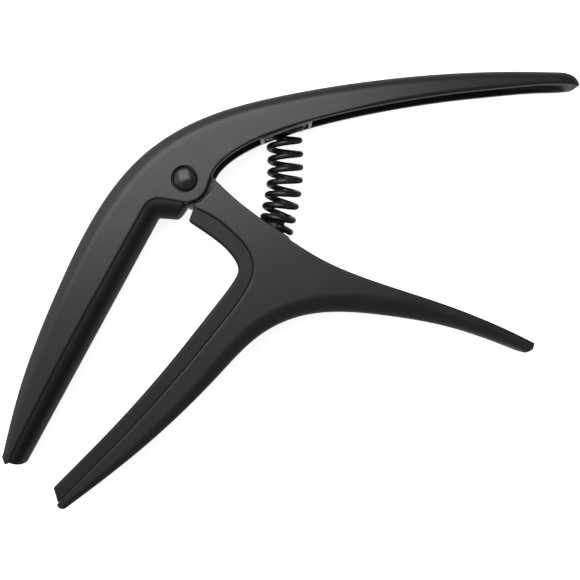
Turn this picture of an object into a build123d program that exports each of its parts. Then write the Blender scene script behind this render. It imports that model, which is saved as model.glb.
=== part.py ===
from build123d import *
import math
import os

# A spring clamp capo for a guitar neck: two die-cast levers on one pivot, two rubber pads and
# a compression spring. It lies on its side: the pivot axis is +Z and the origin is on it, in
# the plane of the side that rests on the table. The handles run towards +X, the jaws towards
# -Y, and the upper lever is the one on the +Y side. Every length is in millimetres.

# ---------------------------------------------------------------- driving dimensions
WIDTH = 15.0  # both levers, along the pivot axis
MID = WIDTH / 2
EDGE_ROUND = 1.8  # rounding of the levers' outer edges
WALL = 2.2  # cheeks of the fork and side walls of the handle's channel
WEB_AT_PIVOT = 2.4  # back of the channel, where the spring pushes on it
WEB_AT_NOSE = 1.5
ROOF_START = 0.49  # the channel's roof, as shares of the back's length from the jaw tip
ROOF_END = 0.99

EAR_R = 5.3  # the fork's cheeks, round the pivot
SHOULDER_R = 6.0  # the full-width part of the lower lever starts outside the cheeks
HUB_R = 5.2  # the lower lever's tang between the cheeks
SLOT_R = 5.6  # the fork's slot, on the jaw side of the pivot
HUB_LOW = 2.8
HUB_HIGH = WIDTH - HUB_LOW
WASHER = 0.5
WASHER_R = 4.4
WASHER_BORE_R = 2.15

PIN_R = 2.0
PIN_RUNNING_GAP = 0.05
BUSH_R = 2.9
HEAD_R = 2.66
HEAD_RECESS_R = 2.97
HEAD_RECESS = 1.0
HEAD_RIM = 0.3
HEAD_DOME = 0.65
TENON_R = 1.2
TENON = 0.55

PAD_INSET = 0.3  # each side of a pad lies this far inside the lever's side
PAD_ROUND = 1.6  # rounding of a pad's long inner edges
TONGUE_LOW = 4.5
TONGUE_HIGH = WIDTH - TONGUE_LOW
TONGUE = 1.2  # how far a pad's tongue goes into the jaw
TONGUE_ROOT = 0.5  # how far it starts inside the pad

WIRE_R = 0.7
COIL_R = 3.25  # to the middle of the wire
COIL_PITCH = 2.9
COIL_TURNS = 7
COIL_FOOT = (20.45, -8.0)
COIL_HEAD = (22.35, 12.2)

POST_R = 1.9
POST_TAIL_R = 1.5
POST_TAIL = 3.2
TAIL_RISE = 0.8  # the tail starts inside the collar, above the high side of the flat
POST_COLLAR_R = 2.3
POST_COLLAR = 1.3
POST_HEIGHT = 3.4
POST_BEVEL = 0.5
POST_SUNK = 2.2  # the collar starts below the sloping flat, which trims it
POST_FOOT = (19.7, -10.62)
POST_LEAN = 16  # degrees from the +Y axis towards +X

SEAT_LENGTH = 12.3
SEAT_DEEP = 7.0
SEAT_SUNK = 0.45
SEAT_LEFT = (16.4, 8.6)  # the seat's two ends on the rim of the channel
SEAT_RIGHT = (28.5, 12.9)
CUP_R = 4.2
CUP_DEPTH = 4.2
CUP_FLOOR_GAP = 0.1  # between the cup's floor and the last coil

# ---------------------------------------------------------------- outlines, in the plane of a side
# The upper lever's back, from the tip of its jaw over the bend to the nose of its handle.
UPPER_BACK = [
    (-40.3, -61.3),
    (-36.8, -46.8),
    (-27.9, -23.2),
    (-19.0, -5.9),
    (-10.1, 5.0),
    (3.2, 13.4),
    (21.0, 18.6),
    (38.8, 21.6),
    (56.6, 23.4),
    (74.3, 23.95),
    (82.5, 23.8),
]
NOSE = (88.2, 21.3)
# The rim of the handle's channel, from the nose to the cheek.
UPPER_RIM = [
    (87.1, 20.9),
    (81.0, 20.95),
    (70.6, 20.15),
    (60.2, 19.05),
    (49.8, 17.55),
    (40.8, 15.9),
    (23.4, 11.5),
    (12.2, 6.8),
    (8.9, 4.5),
    (6.4, 1.7),
]
EAR_START = -20  # degrees, where the rim meets the round cheek
EAR_END = -91
# The face between the upper jaw and its pad: root, rounded corner, slight bow, tip.
FRET_SEAT = [(-0.1, -5.3), (-7.65, -4.05), (-26.4, -37.8), (-38.1, -60.7)]
FRET_SEAT_ROUNDS = [3.6, 600.0]
FRET_LIP = [(-38.7, -62.0), (-39.4, -62.7)]
# The free side of the upper jaw's pad, from its tip to its root.
FRET_FACE = [(-36.0, -62.7), (-6.9, -8.6), (-1.95, -8.4)]
FRET_FACE_ROUNDS = [0.9, 1.0, 0.6]

# The tang that joins the hub to the lower lever, from its heel round to its upper side.
TANG = [(0.35, -4.5), (0.35, -6.1), (2.0, -6.25), (8.0, -8.0), (9.5, -2.9), (6.9, -0.3), (3.6, 3.6)]
# The lower lever, clockwise from the corner beside the pivot.
CORNER = (7.35, -0.9)
CORNER_SIDE = (4.74, -3.7)
LOWER_NECK = [CORNER, (12.2, -5.25), (16.2, -8.3)]
SEAT_TABLE = [(16.2, -8.3), (22.9, -12.75), (23.3, -13.5)]  # raised flat under the spring
LOWER_TOP = [(23.3, -13.5), (29.8, -17.5), (38.6, -21.4), (56.2, -27.3), (73.8, -34.55), (77.1, -36.2)]
LOWER_TIP = (77.0, -37.6)  # the handle ends in a blunt, bevelled tip
LOWER_BACK = [
    (75.4, -38.55),
    (61.0, -33.4),
    (43.2, -30.05),
    (34.3, -29.4),
    (25.4, -30.4),
    (16.5, -34.6),
    (7.7, -43.1),
    (-10.1, -60.1),
    (-26.6, -72.9),
]
NECK_LIP = [(-27.7, -72.6), (-28.2, -71.8)]
# The face between the lower jaw and its pad, from the tip to the root.
NECK_SEAT = [
    (-27.5, -70.9),
    (-12.1, -55.3),
    (-0.6, -42.5),
    (9.2, -30.5),
    (13.4, -24.6),
    (15.1, -19.6),
    (13.8, -15.4),
    (10.7, -12.0),
    (6.95, -8.9),
    (2.0, -6.3),
]
# The free side of the lower jaw's pad, from its root to its tip.
NECK_FACE = [
    (1.9, -10.1),
    (4.5, -11.9),
    (8.0, -14.5),
    (10.6, -17.3),
    (11.75, -20.3),
    (10.9, -22.3),
    (7.6, -26.8),
    (-2.9, -40.05),
    (-14.5, -53.3),
    (-28.3, -67.4),
]
NECK_ROOT_END = (0.95, -9.0)
NECK_TIP_END = (-28.95, -68.3)

FRET_TONGUE = [(-12.2, -12.25), (-26.4, -37.8), (-36.6, -57.8)]
NECK_TONGUE = [(8.6, -31.25), (-0.6, -42.5), (-20.0, -63.3)]


# ---------------------------------------------------------------- helpers
def prism(edges, low, high):
    """The closed outline's prism between two heights along the pivot axis."""
    return Pos(0, 0, low) * extrude(make_face(edges), high - low)


def on_circle(radius, degrees):
    """A point on a circle about the pivot axis."""
    turn = math.radians(degrees)
    return (radius * math.cos(turn), radius * math.sin(turn))


def chain(*points):
    """Straight edges from point to point."""
    return [Line(a, b) for a, b in zip(points, points[1:])]


def disc(radius, low, high):
    """A cylinder on the pivot axis between two heights."""
    return Pos(0, 0, low) * Cylinder(radius, high - low, align=(Align.CENTER, Align.CENTER, Align.MIN))


def ring(outer, inner, low, high):
    """A tube on the pivot axis."""
    return disc(outer, low, high) - disc(inner, low, high)


def spring_axis():
    """The spring's straight axis as a plane whose normal runs from its foot to its head."""
    foot = Vector(*COIL_FOOT, MID)
    return Plane(foot, z_dir=Vector(*COIL_HEAD, MID) - foot)


def round_back(body, back):
    """Rounds both edges of the surface that stands on the given outline."""
    ends = [back @ 0.5, back @ 0.05, back @ 0.95]
    edges = [e for e in body.edges() if is_side_edge(e) and all(near(e, p) for p in ends)]
    return fillet(edges, EDGE_ROUND)


def is_side_edge(edge):
    """Whether an edge lies in one of the lever's two sides."""
    box = edge.bounding_box()
    flat = box.max.Z - box.min.Z < 1e-3
    return flat and (abs(box.min.Z) < 1e-3 or abs(box.max.Z - WIDTH) < 1e-3)


def near(edge, point):
    """Whether the point, moved to the edge's own height, lies on the edge."""
    height = edge.bounding_box().min.Z
    return edge.distance_to(Vector(point.X, point.Y, height)) < 0.01


def tongue(points, jaw_side):
    """The rib on a pad's back that fills the jaw's groove. It follows the points, which lie on
    the face between jaw and pad, and reaches from just inside the pad into the jaw. The jaw is
    on the right of the points' run where jaw_side is 1, and on its left where it is -1."""
    along = (Vector(*points[-1]) - Vector(*points[0])).normalized()
    into_jaw = Vector(along.Y, -along.X) * jaw_side
    outer = [Vector(*p) + into_jaw * TONGUE for p in points]
    inner = [Vector(*p) - into_jaw * TONGUE_ROOT for p in reversed(points)]
    loop = outer + inner
    return prism(chain(*loop, loop[0]), TONGUE_LOW, TONGUE_HIGH)


# ---------------------------------------------------------------- upper lever
def upper_outline():
    """The upper lever's side, without its pad."""
    back = Spline(*UPPER_BACK)
    nose = TangentArc(UPPER_BACK[-1], NOSE, tangent=back % 1)
    ear_start = on_circle(EAR_R, EAR_START)
    ear_tangent = on_circle(1, EAR_START - 90)
    rim = Spline(*UPPER_RIM, ear_start, tangents=[(-1, 0.05), ear_tangent])
    ear_middle = on_circle(EAR_R, (EAR_START + EAR_END) / 2)
    ear = ThreePointArc(ear_start, ear_middle, FRET_SEAT[0])
    seat = FilletPolyline(*FRET_SEAT, radius=FRET_SEAT_ROUNDS)
    lip = chain(FRET_SEAT[-1], *FRET_LIP, UPPER_BACK[0])
    return [back, nose, Line(NOSE, UPPER_RIM[0]), rim, ear, *seat.edges(), *lip]


def channel():
    """The open channel under the handle, with the fork's slot at its root. Its roof keeps an
    even web under the lever's back."""
    back = Spline(*UPPER_BACK)
    roof = []
    for step in range(9):
        share = ROOF_START + (ROOF_END - ROOF_START) * step / 8
        web = WEB_AT_PIVOT + (WEB_AT_NOSE - WEB_AT_PIVOT) * step / 8
        outward = Vector(-(back % share).Y, (back % share).X)
        roof.append(back @ share - outward * web)
    below = -12
    loop = chain(roof[-1], (roof[-1].X, 0), (20, below), (0, below), (0, roof[0].Y), roof[0])
    space = prism([Spline(*roof), *loop], WALL, WIDTH - WALL)
    return space + disc(SLOT_R, WALL, WIDTH - WALL)


def make_upper_lever():
    """The lever with the fretboard jaw, the fork and the channelled handle."""
    outline = upper_outline()
    body = round_back(prism(outline, 0, WIDTH), outline[0])
    body -= channel()
    body -= disc(PIN_R, 0, WIDTH)
    body -= disc(HEAD_RECESS_R, WIDTH - HEAD_RECESS, WIDTH)
    body -= disc(HEAD_RECESS_R, 0, HEAD_RECESS)
    return body - tongue(FRET_TONGUE, 1)


def make_fretboard_pad():
    """The straight rubber pad that presses the strings."""
    seat = FilletPolyline(*FRET_SEAT, radius=FRET_SEAT_ROUNDS)
    corners = [FRET_LIP[0], *FRET_FACE, FRET_SEAT[0]]
    free = FilletPolyline(*corners, radius=FRET_FACE_ROUNDS)
    outline = [*seat.edges(), Line(FRET_SEAT[-1], FRET_LIP[0]), *free.edges()]
    body = prism(outline, PAD_INSET, WIDTH - PAD_INSET)
    return round_pad(body, [free.edges()[i] for i in (1, 2, 3, 4)]) + tongue(FRET_TONGUE, 1)


def round_pad(body, free_edges):
    """Rounds the pad's long edges along the given parts of its free side."""
    chosen = []
    for edge in body.edges():
        box = edge.bounding_box()
        if box.max.Z - box.min.Z > 1e-3:
            continue
        if any(near(edge, part @ 0.3) and near(edge, part @ 0.7) for part in free_edges):
            chosen.append(edge)
    return fillet(chosen, PAD_ROUND)


# ---------------------------------------------------------------- lower lever
def neck_seat():
    """The curved face between the lower jaw and its pad."""
    return Spline(*NECK_SEAT)


def lower_outline():
    """The full-width side of the lower lever, without its hub and pad."""
    back = Spline(*LOWER_BACK)
    shoulder_start = on_circle(SHOULDER_R, -71)
    shoulder = ThreePointArc(shoulder_start, on_circle(SHOULDER_R, -54), CORNER_SIDE)
    lip = chain(LOWER_BACK[-1], *NECK_LIP, NECK_SEAT[0])
    return [
        back,
        *lip,
        neck_seat(),
        Line(NECK_SEAT[-1], shoulder_start),
        shoulder,
        Line(CORNER_SIDE, CORNER),
        Spline(*LOWER_NECK),
        *chain(*SEAT_TABLE),
        Spline(*LOWER_TOP),
        *chain(LOWER_TOP[-1], LOWER_TIP, LOWER_BACK[0]),
    ]


def tang():
    """The narrow hub between the cheeks, with the heel that stops the jaws from closing."""
    link = prism(chain(*TANG, TANG[0]), HUB_LOW, HUB_HIGH)
    return link + disc(HUB_R, HUB_LOW, HUB_HIGH)


def post_base():
    """The plane of the post's foot, square to the post's own leaning axis."""
    lean = math.radians(POST_LEAN)
    return Plane(Vector(*POST_FOOT, MID), z_dir=(math.sin(lean), math.cos(lean), 0))


def post_socket():
    """The spring post's tail, pressed into the raised flat."""
    tail = Cylinder(POST_TAIL_R, POST_TAIL + TAIL_RISE, align=(Align.CENTER, Align.CENTER, Align.MAX))
    return post_base() * Pos(0, 0, TAIL_RISE) * tail


def make_lower_lever():
    """The lever with the curved neck jaw, the hub and the solid handle."""
    outline = lower_outline()
    body = round_back(prism(outline, 0, WIDTH), outline[0])
    body += tang()
    body -= disc(BUSH_R, 0, WIDTH)
    body -= post_socket()
    return body - tongue(NECK_TONGUE, -1)


def make_neck_pad():
    """The curved rubber pad that bears on the back of the neck."""
    face = Spline(*NECK_FACE)
    root = ThreePointArc(NECK_ROOT_END, (1.15, -9.7), NECK_FACE[0])
    tip = ThreePointArc(NECK_FACE[-1], (-28.8, -67.8), NECK_TIP_END)
    ends = [Line(NECK_SEAT[-1], NECK_ROOT_END), *chain(NECK_TIP_END, NECK_LIP[1], NECK_SEAT[0])]
    outline = [neck_seat(), ends[0], root, face, tip, *ends[1:]]
    body = prism(outline, PAD_INSET, WIDTH - PAD_INSET)
    return round_pad(body, [face]) + tongue(NECK_TONGUE, -1)


# ---------------------------------------------------------------- spring
def make_main_spring():
    """The compression spring, a plain helix about its straight axis."""
    axis = spring_axis()
    path = Helix(COIL_PITCH, COIL_PITCH * COIL_TURNS, COIL_R)
    section = Plane(path @ 0, z_dir=path % 0) * Circle(WIRE_R)
    return axis * sweep(section, path, is_frenet=True)


def make_spring_post():
    """The stud in the lower lever that keeps the spring's foot in place."""
    start = (Align.CENTER, Align.CENTER, Align.MIN)
    shank = Cylinder(POST_R, POST_HEIGHT, align=start)
    shank = chamfer(shank.edges().group_by(Axis.Z)[-1], POST_BEVEL)
    collar = Pos(0, 0, -POST_SUNK) * Cylinder(POST_COLLAR_R, POST_SUNK + POST_COLLAR, align=start)
    solid_lever = prism(lower_outline(), 0, WIDTH)
    return post_base() * (shank + collar) - solid_lever + post_socket()


def make_spring_seat(lever):
    """The cup block in the channel that the spring's head pushes on."""
    left = Vector(*SEAT_LEFT, MID)
    right = Vector(*SEAT_RIGHT, MID)
    rim = Plane((left + right) / 2, x_dir=right - left, z_dir=(0, 0, 1))
    block = Box(SEAT_LENGTH, SEAT_DEEP, WIDTH - 2 * WALL, align=(Align.CENTER, Align.MIN, Align.CENTER))
    block = rim * Pos(0, SEAT_SUNK, 0) * block - lever
    block = block.solids().sort_by(SortBy.VOLUME)[-1]
    head = Plane(Vector(*COIL_HEAD, MID), z_dir=spring_axis().z_dir)
    cup = Cylinder(CUP_R, CUP_DEPTH + 5, align=(Align.CENTER, Align.CENTER, Align.MAX))
    return block - head * Pos(0, 0, WIRE_R + CUP_FLOOR_GAP) * cup


# ---------------------------------------------------------------- pivot
def domed_head(height):
    """A low domed rivet head that stands on z = 0."""
    ball = (HEAD_R**2 + HEAD_DOME**2) / (2 * HEAD_DOME)
    return disc(HEAD_R, 0, height) & Pos(0, 0, height - ball) * Sphere(ball)


def make_pivot_pin():
    """The pin: domed head in the near cheek, shank through both cheeks, tenon for the cap."""
    head = Pos(0, 0, WIDTH - HEAD_RECESS) * domed_head(HEAD_RIM + HEAD_DOME)
    shank = disc(PIN_R, HEAD_RECESS, WIDTH - HEAD_RECESS)
    return head + shank + disc(TENON_R, HEAD_RECESS - TENON, HEAD_RECESS)


def make_pivot_cap():
    """The matching head, pressed on the pin's tenon in the far cheek."""
    head = Pos(0, 0, HEAD_RECESS) * Rot(180, 0, 0) * domed_head(HEAD_RIM + HEAD_DOME)
    return head - disc(TENON_R, HEAD_RECESS - TENON, HEAD_RECESS)


# ---------------------------------------------------------------- all pieces
def main():
    os.makedirs("parts", exist_ok=True)
    upper_lever = make_upper_lever()
    pieces = {
        "upper_lever": upper_lever,
        "lower_lever": make_lower_lever(),
        "fretboard_pad": make_fretboard_pad(),
        "neck_pad": make_neck_pad(),
        "main_spring": make_main_spring(),
        "spring_post": make_spring_post(),
        "spring_seat": make_spring_seat(upper_lever),
        "pivot_pin": make_pivot_pin(),
        "pivot_cap": make_pivot_cap(),
        "hub_bush": ring(BUSH_R, PIN_R + PIN_RUNNING_GAP, HUB_LOW, HUB_HIGH),
        "washer_front": ring(WASHER_R, WASHER_BORE_R, HUB_HIGH, HUB_HIGH + WASHER),
        "washer_rear": ring(WASHER_R, WASHER_BORE_R, HUB_LOW - WASHER, HUB_LOW),
    }
    for name, piece in pieces.items():
        export_step(piece, f"parts/{name}.step")


main()
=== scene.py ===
import math
from collections import namedtuple
from contextlib import contextmanager

import bmesh
import bpy
import numpy as np
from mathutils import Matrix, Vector


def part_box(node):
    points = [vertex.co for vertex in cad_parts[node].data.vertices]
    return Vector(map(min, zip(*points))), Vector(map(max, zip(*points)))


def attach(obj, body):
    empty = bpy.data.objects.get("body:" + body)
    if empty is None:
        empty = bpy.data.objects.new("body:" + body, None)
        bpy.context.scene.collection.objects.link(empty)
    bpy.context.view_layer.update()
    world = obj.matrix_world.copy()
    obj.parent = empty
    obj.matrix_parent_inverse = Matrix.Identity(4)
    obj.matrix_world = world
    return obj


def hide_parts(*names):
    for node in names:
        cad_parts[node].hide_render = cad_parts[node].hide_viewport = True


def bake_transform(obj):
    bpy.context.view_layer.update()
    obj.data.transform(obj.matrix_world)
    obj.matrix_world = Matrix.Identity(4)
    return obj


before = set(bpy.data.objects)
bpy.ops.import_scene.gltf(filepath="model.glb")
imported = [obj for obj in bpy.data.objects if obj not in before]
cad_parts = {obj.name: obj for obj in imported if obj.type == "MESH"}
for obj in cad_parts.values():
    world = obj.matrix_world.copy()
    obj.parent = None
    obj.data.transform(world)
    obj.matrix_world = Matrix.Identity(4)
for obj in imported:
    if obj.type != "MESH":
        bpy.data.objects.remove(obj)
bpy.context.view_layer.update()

# A spring clamp capo that lies on its side. The pivot axis is +Z through the origin, the handles
# run towards +X and the jaws towards -Y. Lengths are in millimetres until a mesh is made: MM
# turns them into Blender's metres there.
MM = 0.001
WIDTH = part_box("upper_lever")[1].z / MM
MID = WIDTH / 2

# ---------------------------------------- outlines of the CAD pieces
UPPER_BACK = [
    (-40.3, -61.3), (-36.8, -46.8), (-27.9, -23.2), (-19.0, -5.9), (-10.1, 5.0), (3.2, 13.4),
    (21.0, 18.6), (38.8, 21.6), (56.6, 23.4), (74.3, 23.95), (82.5, 23.8),
]
NOSE = (88.2, 21.3)
NOSE_START = (83.6, 23.8)
NOSE_CORNER = (87.6, 23.5)
UPPER_RIM = [
    (87.1, 20.9), (81.0, 20.95), (70.6, 20.15), (60.2, 19.05), (49.8, 17.55), (40.8, 15.9),
    (23.4, 11.5), (12.2, 6.8), (8.9, 4.5), (6.4, 1.7),
]
EAR_R = 5.3
EAR_START = -20
EAR_END = -91
FRET_SEAT = [(-0.1, -5.3), (-7.65, -4.05), (-26.4, -37.8), (-38.1, -60.7)]
FRET_SEAT_ROUNDS = [3.6, 600.0]
FRET_LIP = [(-38.75, -62.65), (-39.6, -63.0)]
FRET_FACE = [(-36.5, -63.65), (-6.4, -8.3), (-2.05, -8.65)]
FRET_FACE_ROUND = 0.7
FRET_TONGUE = [(-12.2, -12.25), (-26.4, -37.8), (-36.6, -57.8)]

TANG = [
    (0.35, -4.5), (0.35, -6.1), (2.0, -6.25), (8.0, -8.0), (9.5, -2.9), (6.9, -0.3), (3.6, 3.6),
]
SHOULDER_R = 6.0
SHOULDER_START = -71
CORNER = (7.35, -0.9)
CORNER_SIDE = (4.74, -3.7)
LOWER_NECK = [CORNER, (12.2, -5.25), (16.2, -8.3)]
SEAT_TABLE = [(16.2, -8.3), (22.9, -12.75), (23.3, -13.5)]
LOWER_TOP = [
    (23.3, -13.5), (29.8, -17.5), (38.6, -21.4), (56.2, -27.3), (73.8, -34.55), (77.1, -36.2),
]
LOWER_TIP = (77.0, -37.6)
LOWER_BACK = [
    (75.4, -38.55), (61.0, -33.4), (43.2, -30.05), (34.3, -29.4), (25.4, -30.4), (16.5, -34.6),
    (7.7, -43.1), (-10.1, -60.1), (-26.6, -72.9),
]
NECK_LIP = [(-27.7, -72.6), (-28.2, -71.8)]
NECK_SEAT = [
    (-27.5, -70.9), (-12.1, -55.3), (-0.6, -42.5), (9.2, -30.5), (13.4, -24.6), (15.1, -19.6),
    (13.8, -15.4), (10.7, -12.0), (6.95, -8.9), (2.0, -6.3),
]
NECK_FACE = [
    (1.9, -10.1), (4.5, -11.9), (8.0, -14.5), (10.6, -17.3), (11.75, -20.3), (10.9, -22.3),
    (7.6, -26.8), (-2.9, -40.05), (-14.5, -53.3), (-28.3, -67.4),
]
NECK_ROOT_END = (0.95, -9.0)
NECK_ROOT_CORNER = (0.9, -9.6)
NECK_TIP_CORNER = (-28.85, -67.9)
NECK_TIP_END = (-28.95, -68.3)
NECK_PAD_FOOT = (-27.95, -71.4)  # the rubber ends short of the metal lip
NECK_TONGUE = [(8.6, -31.25), (-0.6, -42.5), (-20.0, -63.3)]

# ---------------------------------------- sizes of the CAD pieces
WALL = 2.2
WEB_AT_PIVOT = 2.4
WEB_AT_NOSE = 1.5
ROOF_START = 0.49
ROOF_END = 0.985
ROOF_TIP = (84.2, 21.95)
SCOOP_CORNER = (85.9, 21.75)
SCOOP_FOOT = (86.2, 20.2)
CHANNEL_CUT = (20.0, -12.0)  # the channel's cutter reaches down to here, outside the handle
TAPER_START = 82.3  # from here to the nose the handle narrows like a spoon
TAPER = 0.93
SLOT_R = 5.6
HUB_R = 5.2
HUB_LOW = 2.8
HUB_HIGH = WIDTH - HUB_LOW
BUSH_R = 2.9
PIN_R = 2.0
HEAD_R = 2.66
HEAD_RECESS_R = 2.97
HEAD_RECESS = 1.0
HEAD_DOME = 0.65
HEAD_RIM = 0.3
GROOVE_DEEP = 1.8  # the groove round each head is deeper than the head's recess
PAD_INSET = 0.3
TONGUE = 1.2
TONGUE_ROOT = 0.5
TONGUE_LOW = 4.5
TONGUE_HIGH = WIDTH - TONGUE_LOW
WIRE_R = 0.7
COIL_R = 3.42
COIL_HEAD = (22.35, 12.2)
POST_FOOT = (19.7, -10.62)
POST_LEAN = math.radians(16)
POST_AXIS = (math.sin(POST_LEAN), math.cos(POST_LEAN), 0.0)
POST_R = 1.9
POST_TAIL_R = 1.5
POST_TAIL = 3.2
POST_COLLAR_R = 2.3
POST_COLLAR = 1.3
POST_COLLAR_FOOT = -1.4
POST_HEIGHT = 3.4
SEAT_LEFT = (16.4, 8.6)
SEAT_RIGHT = (28.5, 12.9)
SEAT_LENGTH = 12.3
SEAT_FRAME = 0.1  # the bare frame round the seat's recess, above the rim of the channel
SEAT_HIGH_LEFT = 2.9
SEAT_HIGH_RIGHT = 4.2
CUP_R = 4.2
CUP_MOUTH = 5.0
CUP_FLOOR = 13.0

# ---------------------------------------- curves in the plane of a side
STEP = 0.6  # spacing of the points along a curve
NOSE_STEP = 0.35  # the same round the tight curve of the nose
NEAREST = 0.03  # points of an outline that are closer than this become one
SAME = 1e-6  # lengths and shares of a length that differ by less count as equal


def distances(points):
    """How far along a line each of its points lies."""
    return np.concatenate(([0.0], np.cumsum(np.linalg.norm(np.diff(points, axis=0), axis=1))))


def at_distances(values, known, wanted):
    """Values that are known at some distances along a line, read at others."""
    return np.stack([np.interp(wanted, known, values[:, k]) for k in (0, 1)], axis=1)


def cross(a, b):
    """The cross product of plane vectors."""
    return a[..., 0] * b[..., 1] - a[..., 1] * b[..., 0]


def is_clockwise(points):
    """Whether a closed line runs clockwise."""
    return cross(points, np.roll(points, -1, axis=0)).sum() < 0


def resample(points, step=STEP):
    """The same line with evenly spaced points."""
    known = distances(points)
    count = max(2, int(round(known[-1] / step)) + 1)
    return at_distances(points, known, np.linspace(0.0, known[-1], count))


def slopes(knots, values, start, end):
    """Slopes at the knots of the smoothest cubic curve through the values. An end without a
    given direction is left free to straighten out."""
    gaps = np.diff(knots)
    count = len(knots)
    system = np.zeros((count, count))
    right = np.zeros((count, values.shape[1]))
    for i in range(1, count - 1):
        before, after = gaps[i - 1], gaps[i]
        system[i, i - 1 : i + 2] = (after, 2 * (before + after), before)
        rise_before = (values[i] - values[i - 1]) / before
        rise_after = (values[i + 1] - values[i]) / after
        right[i] = 3 * (after * rise_before + before * rise_after)
    for row, other, direction in ((0, 1, start), (count - 1, count - 2, end)):
        system[row, row] = 1.0 if direction is not None else 2.0
        if direction is None:
            system[row, other] = 1.0
            low, high = min(row, other), max(row, other)
            right[row] = 3 * (values[high] - values[low]) / (knots[high] - knots[low])
        else:
            right[row] = np.array(direction) / np.linalg.norm(direction)
    return np.linalg.solve(system, right)


def cubic(knots, values, at, start=None, end=None):
    """The smoothest cubic curve through values at knots, read at the given places."""
    knots = np.array(knots, float)
    values = np.array(values, float).reshape(len(knots), -1)
    slope = slopes(knots, values, start, end)
    i = np.clip(np.searchsorted(knots, at, side="right") - 1, 0, len(knots) - 2)
    gap = (knots[i + 1] - knots[i])[:, None]
    u = ((at - knots[i]) / gap[:, 0])[:, None]
    return (
        values[i] * (1 + 2 * u) * (1 - u) ** 2
        + slope[i] * gap * u * (1 - u) ** 2
        + values[i + 1] * u**2 * (3 - 2 * u)
        - slope[i + 1] * gap * u**2 * (1 - u)
    )


def spline(points, start=None, end=None):
    """Evenly spaced points on a smooth curve through the given ones."""
    points = np.array(points, float)
    knots = distances(points)
    per_point = 40
    dense = np.linspace(0.0, knots[-1], per_point * len(points))
    return resample(cubic(knots, points, dense, start, end))


def line(a, b):
    """Evenly spaced points from a to b."""
    return resample(np.array([a, b], float))


def on_circle(radius, degrees):
    """A point on a circle about the pivot axis."""
    turn = math.radians(degrees)
    return (radius * math.cos(turn), radius * math.sin(turn))


def arc(radius, start, end):
    """Points on an arc about the pivot axis between two angles in degrees."""
    degrees_apart = 4
    count = max(3, int(abs(end - start) / degrees_apart))
    return np.array([on_circle(radius, a) for a in np.linspace(start, end, count)])


def bend(a, b, corner, count=10):
    """A rounded way from a to b that stays inside the corner."""
    t = np.linspace(0.0, 1.0, count)[:, None]
    a, b, corner = (np.array(p, float) for p in (a, b, corner))
    return (1 - t) ** 2 * a + 2 * t * (1 - t) * corner + t**2 * b


def rounded(points, radii):
    """A polyline whose inner corners are arcs of the given radii."""
    points = [np.array(p, float) for p in points]
    made = [points[0]]
    for before, corner, after, radius in zip(points, points[1:], points[2:], radii):
        towards = (before - corner) / np.linalg.norm(before - corner)
        away = (after - corner) / np.linalg.norm(after - corner)
        half = math.acos(np.clip(towards @ away, -1, 1)) / 2
        back_off = radius / math.tan(half)
        middle = (towards + away) / np.linalg.norm(towards + away)
        centre = corner + middle * radius / math.sin(half)
        x, y = corner + towards * back_off - centre
        last = corner + away * back_off - centre
        sweep = math.pi - 2 * half
        turn = 1 if cross(np.array([x, y]), last) > 0 else -1
        for share in np.linspace(0, 1, max(4, int(sweep * radius / STEP) + 2)):
            c, s = math.cos(turn * sweep * share), math.sin(turn * sweep * share)
            made.append(centre + np.array([x * c - y * s, x * s + y * c]))
    made.append(points[-1])
    return np.array(made)


def fill_in(points):
    """Adds points where two neighbours are further apart than the spacing."""
    made = [points[:1]]
    for a, b in zip(points, points[1:]):
        made.append(line(a, b)[1:])
    return np.concatenate(made)


def trim(points, at_start, at_end):
    """Cuts the given lengths off a line's two ends."""
    known = distances(points)
    low, high = at_start, known[-1] - at_end
    keep = (known > low + SAME) & (known < high - SAME)
    ends = at_distances(points, known, (low, high))
    return np.concatenate((ends[:1], points[keep], ends[1:]))


# ---------------------------------------- slabs with rounded side edges
# A rounding is how far an edge's rounding reaches inwards and along Z, and the largest share of
# the slab's own thickness that it may take. A run is one stretch of an outline: its points, the
# rounding at its two ends, and the radius of the corner at its start.
Rounding = namedtuple("Rounding", "inward along share")
Run = namedtuple("Run", "points start end corner")
Outline = namedtuple("Outline", "points inward inset depth support")

NO_LIMIT = 1e3  # stands for a distance without a limit
PARALLEL = 1e-9  # cross products below this belong to parallel sides
BLEND = 0.9  # length over which the roundings along an outline are evened out
CORNER_TURN = 0.2  # where two runs meet at less than this angle in radians, no corner is rounded
BEND_TURN = 0.02  # the least turn, in radians, at a point where the outline counts as bent
CORNER_SHARE = 0.85  # the largest share of the outline's own radius that a rounding takes
SUPPORT = 0.3  # width of the flat ring inside each rounding, which makes it shade well
SUPPORT_SHARE = 0.05  # the ring's largest share of the slab's thickness
SUPPORT_CORNER_SHARE = 0.3


def turn_between(first, second):
    """The angle in radians by which the way turns from one run to the next."""
    a = first[-1] - first[-2]
    b = second[1] - second[0]
    cosine = (a @ b) / (np.linalg.norm(a) * np.linalg.norm(b))
    return math.acos(np.clip(cosine, -1, 1))


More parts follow.
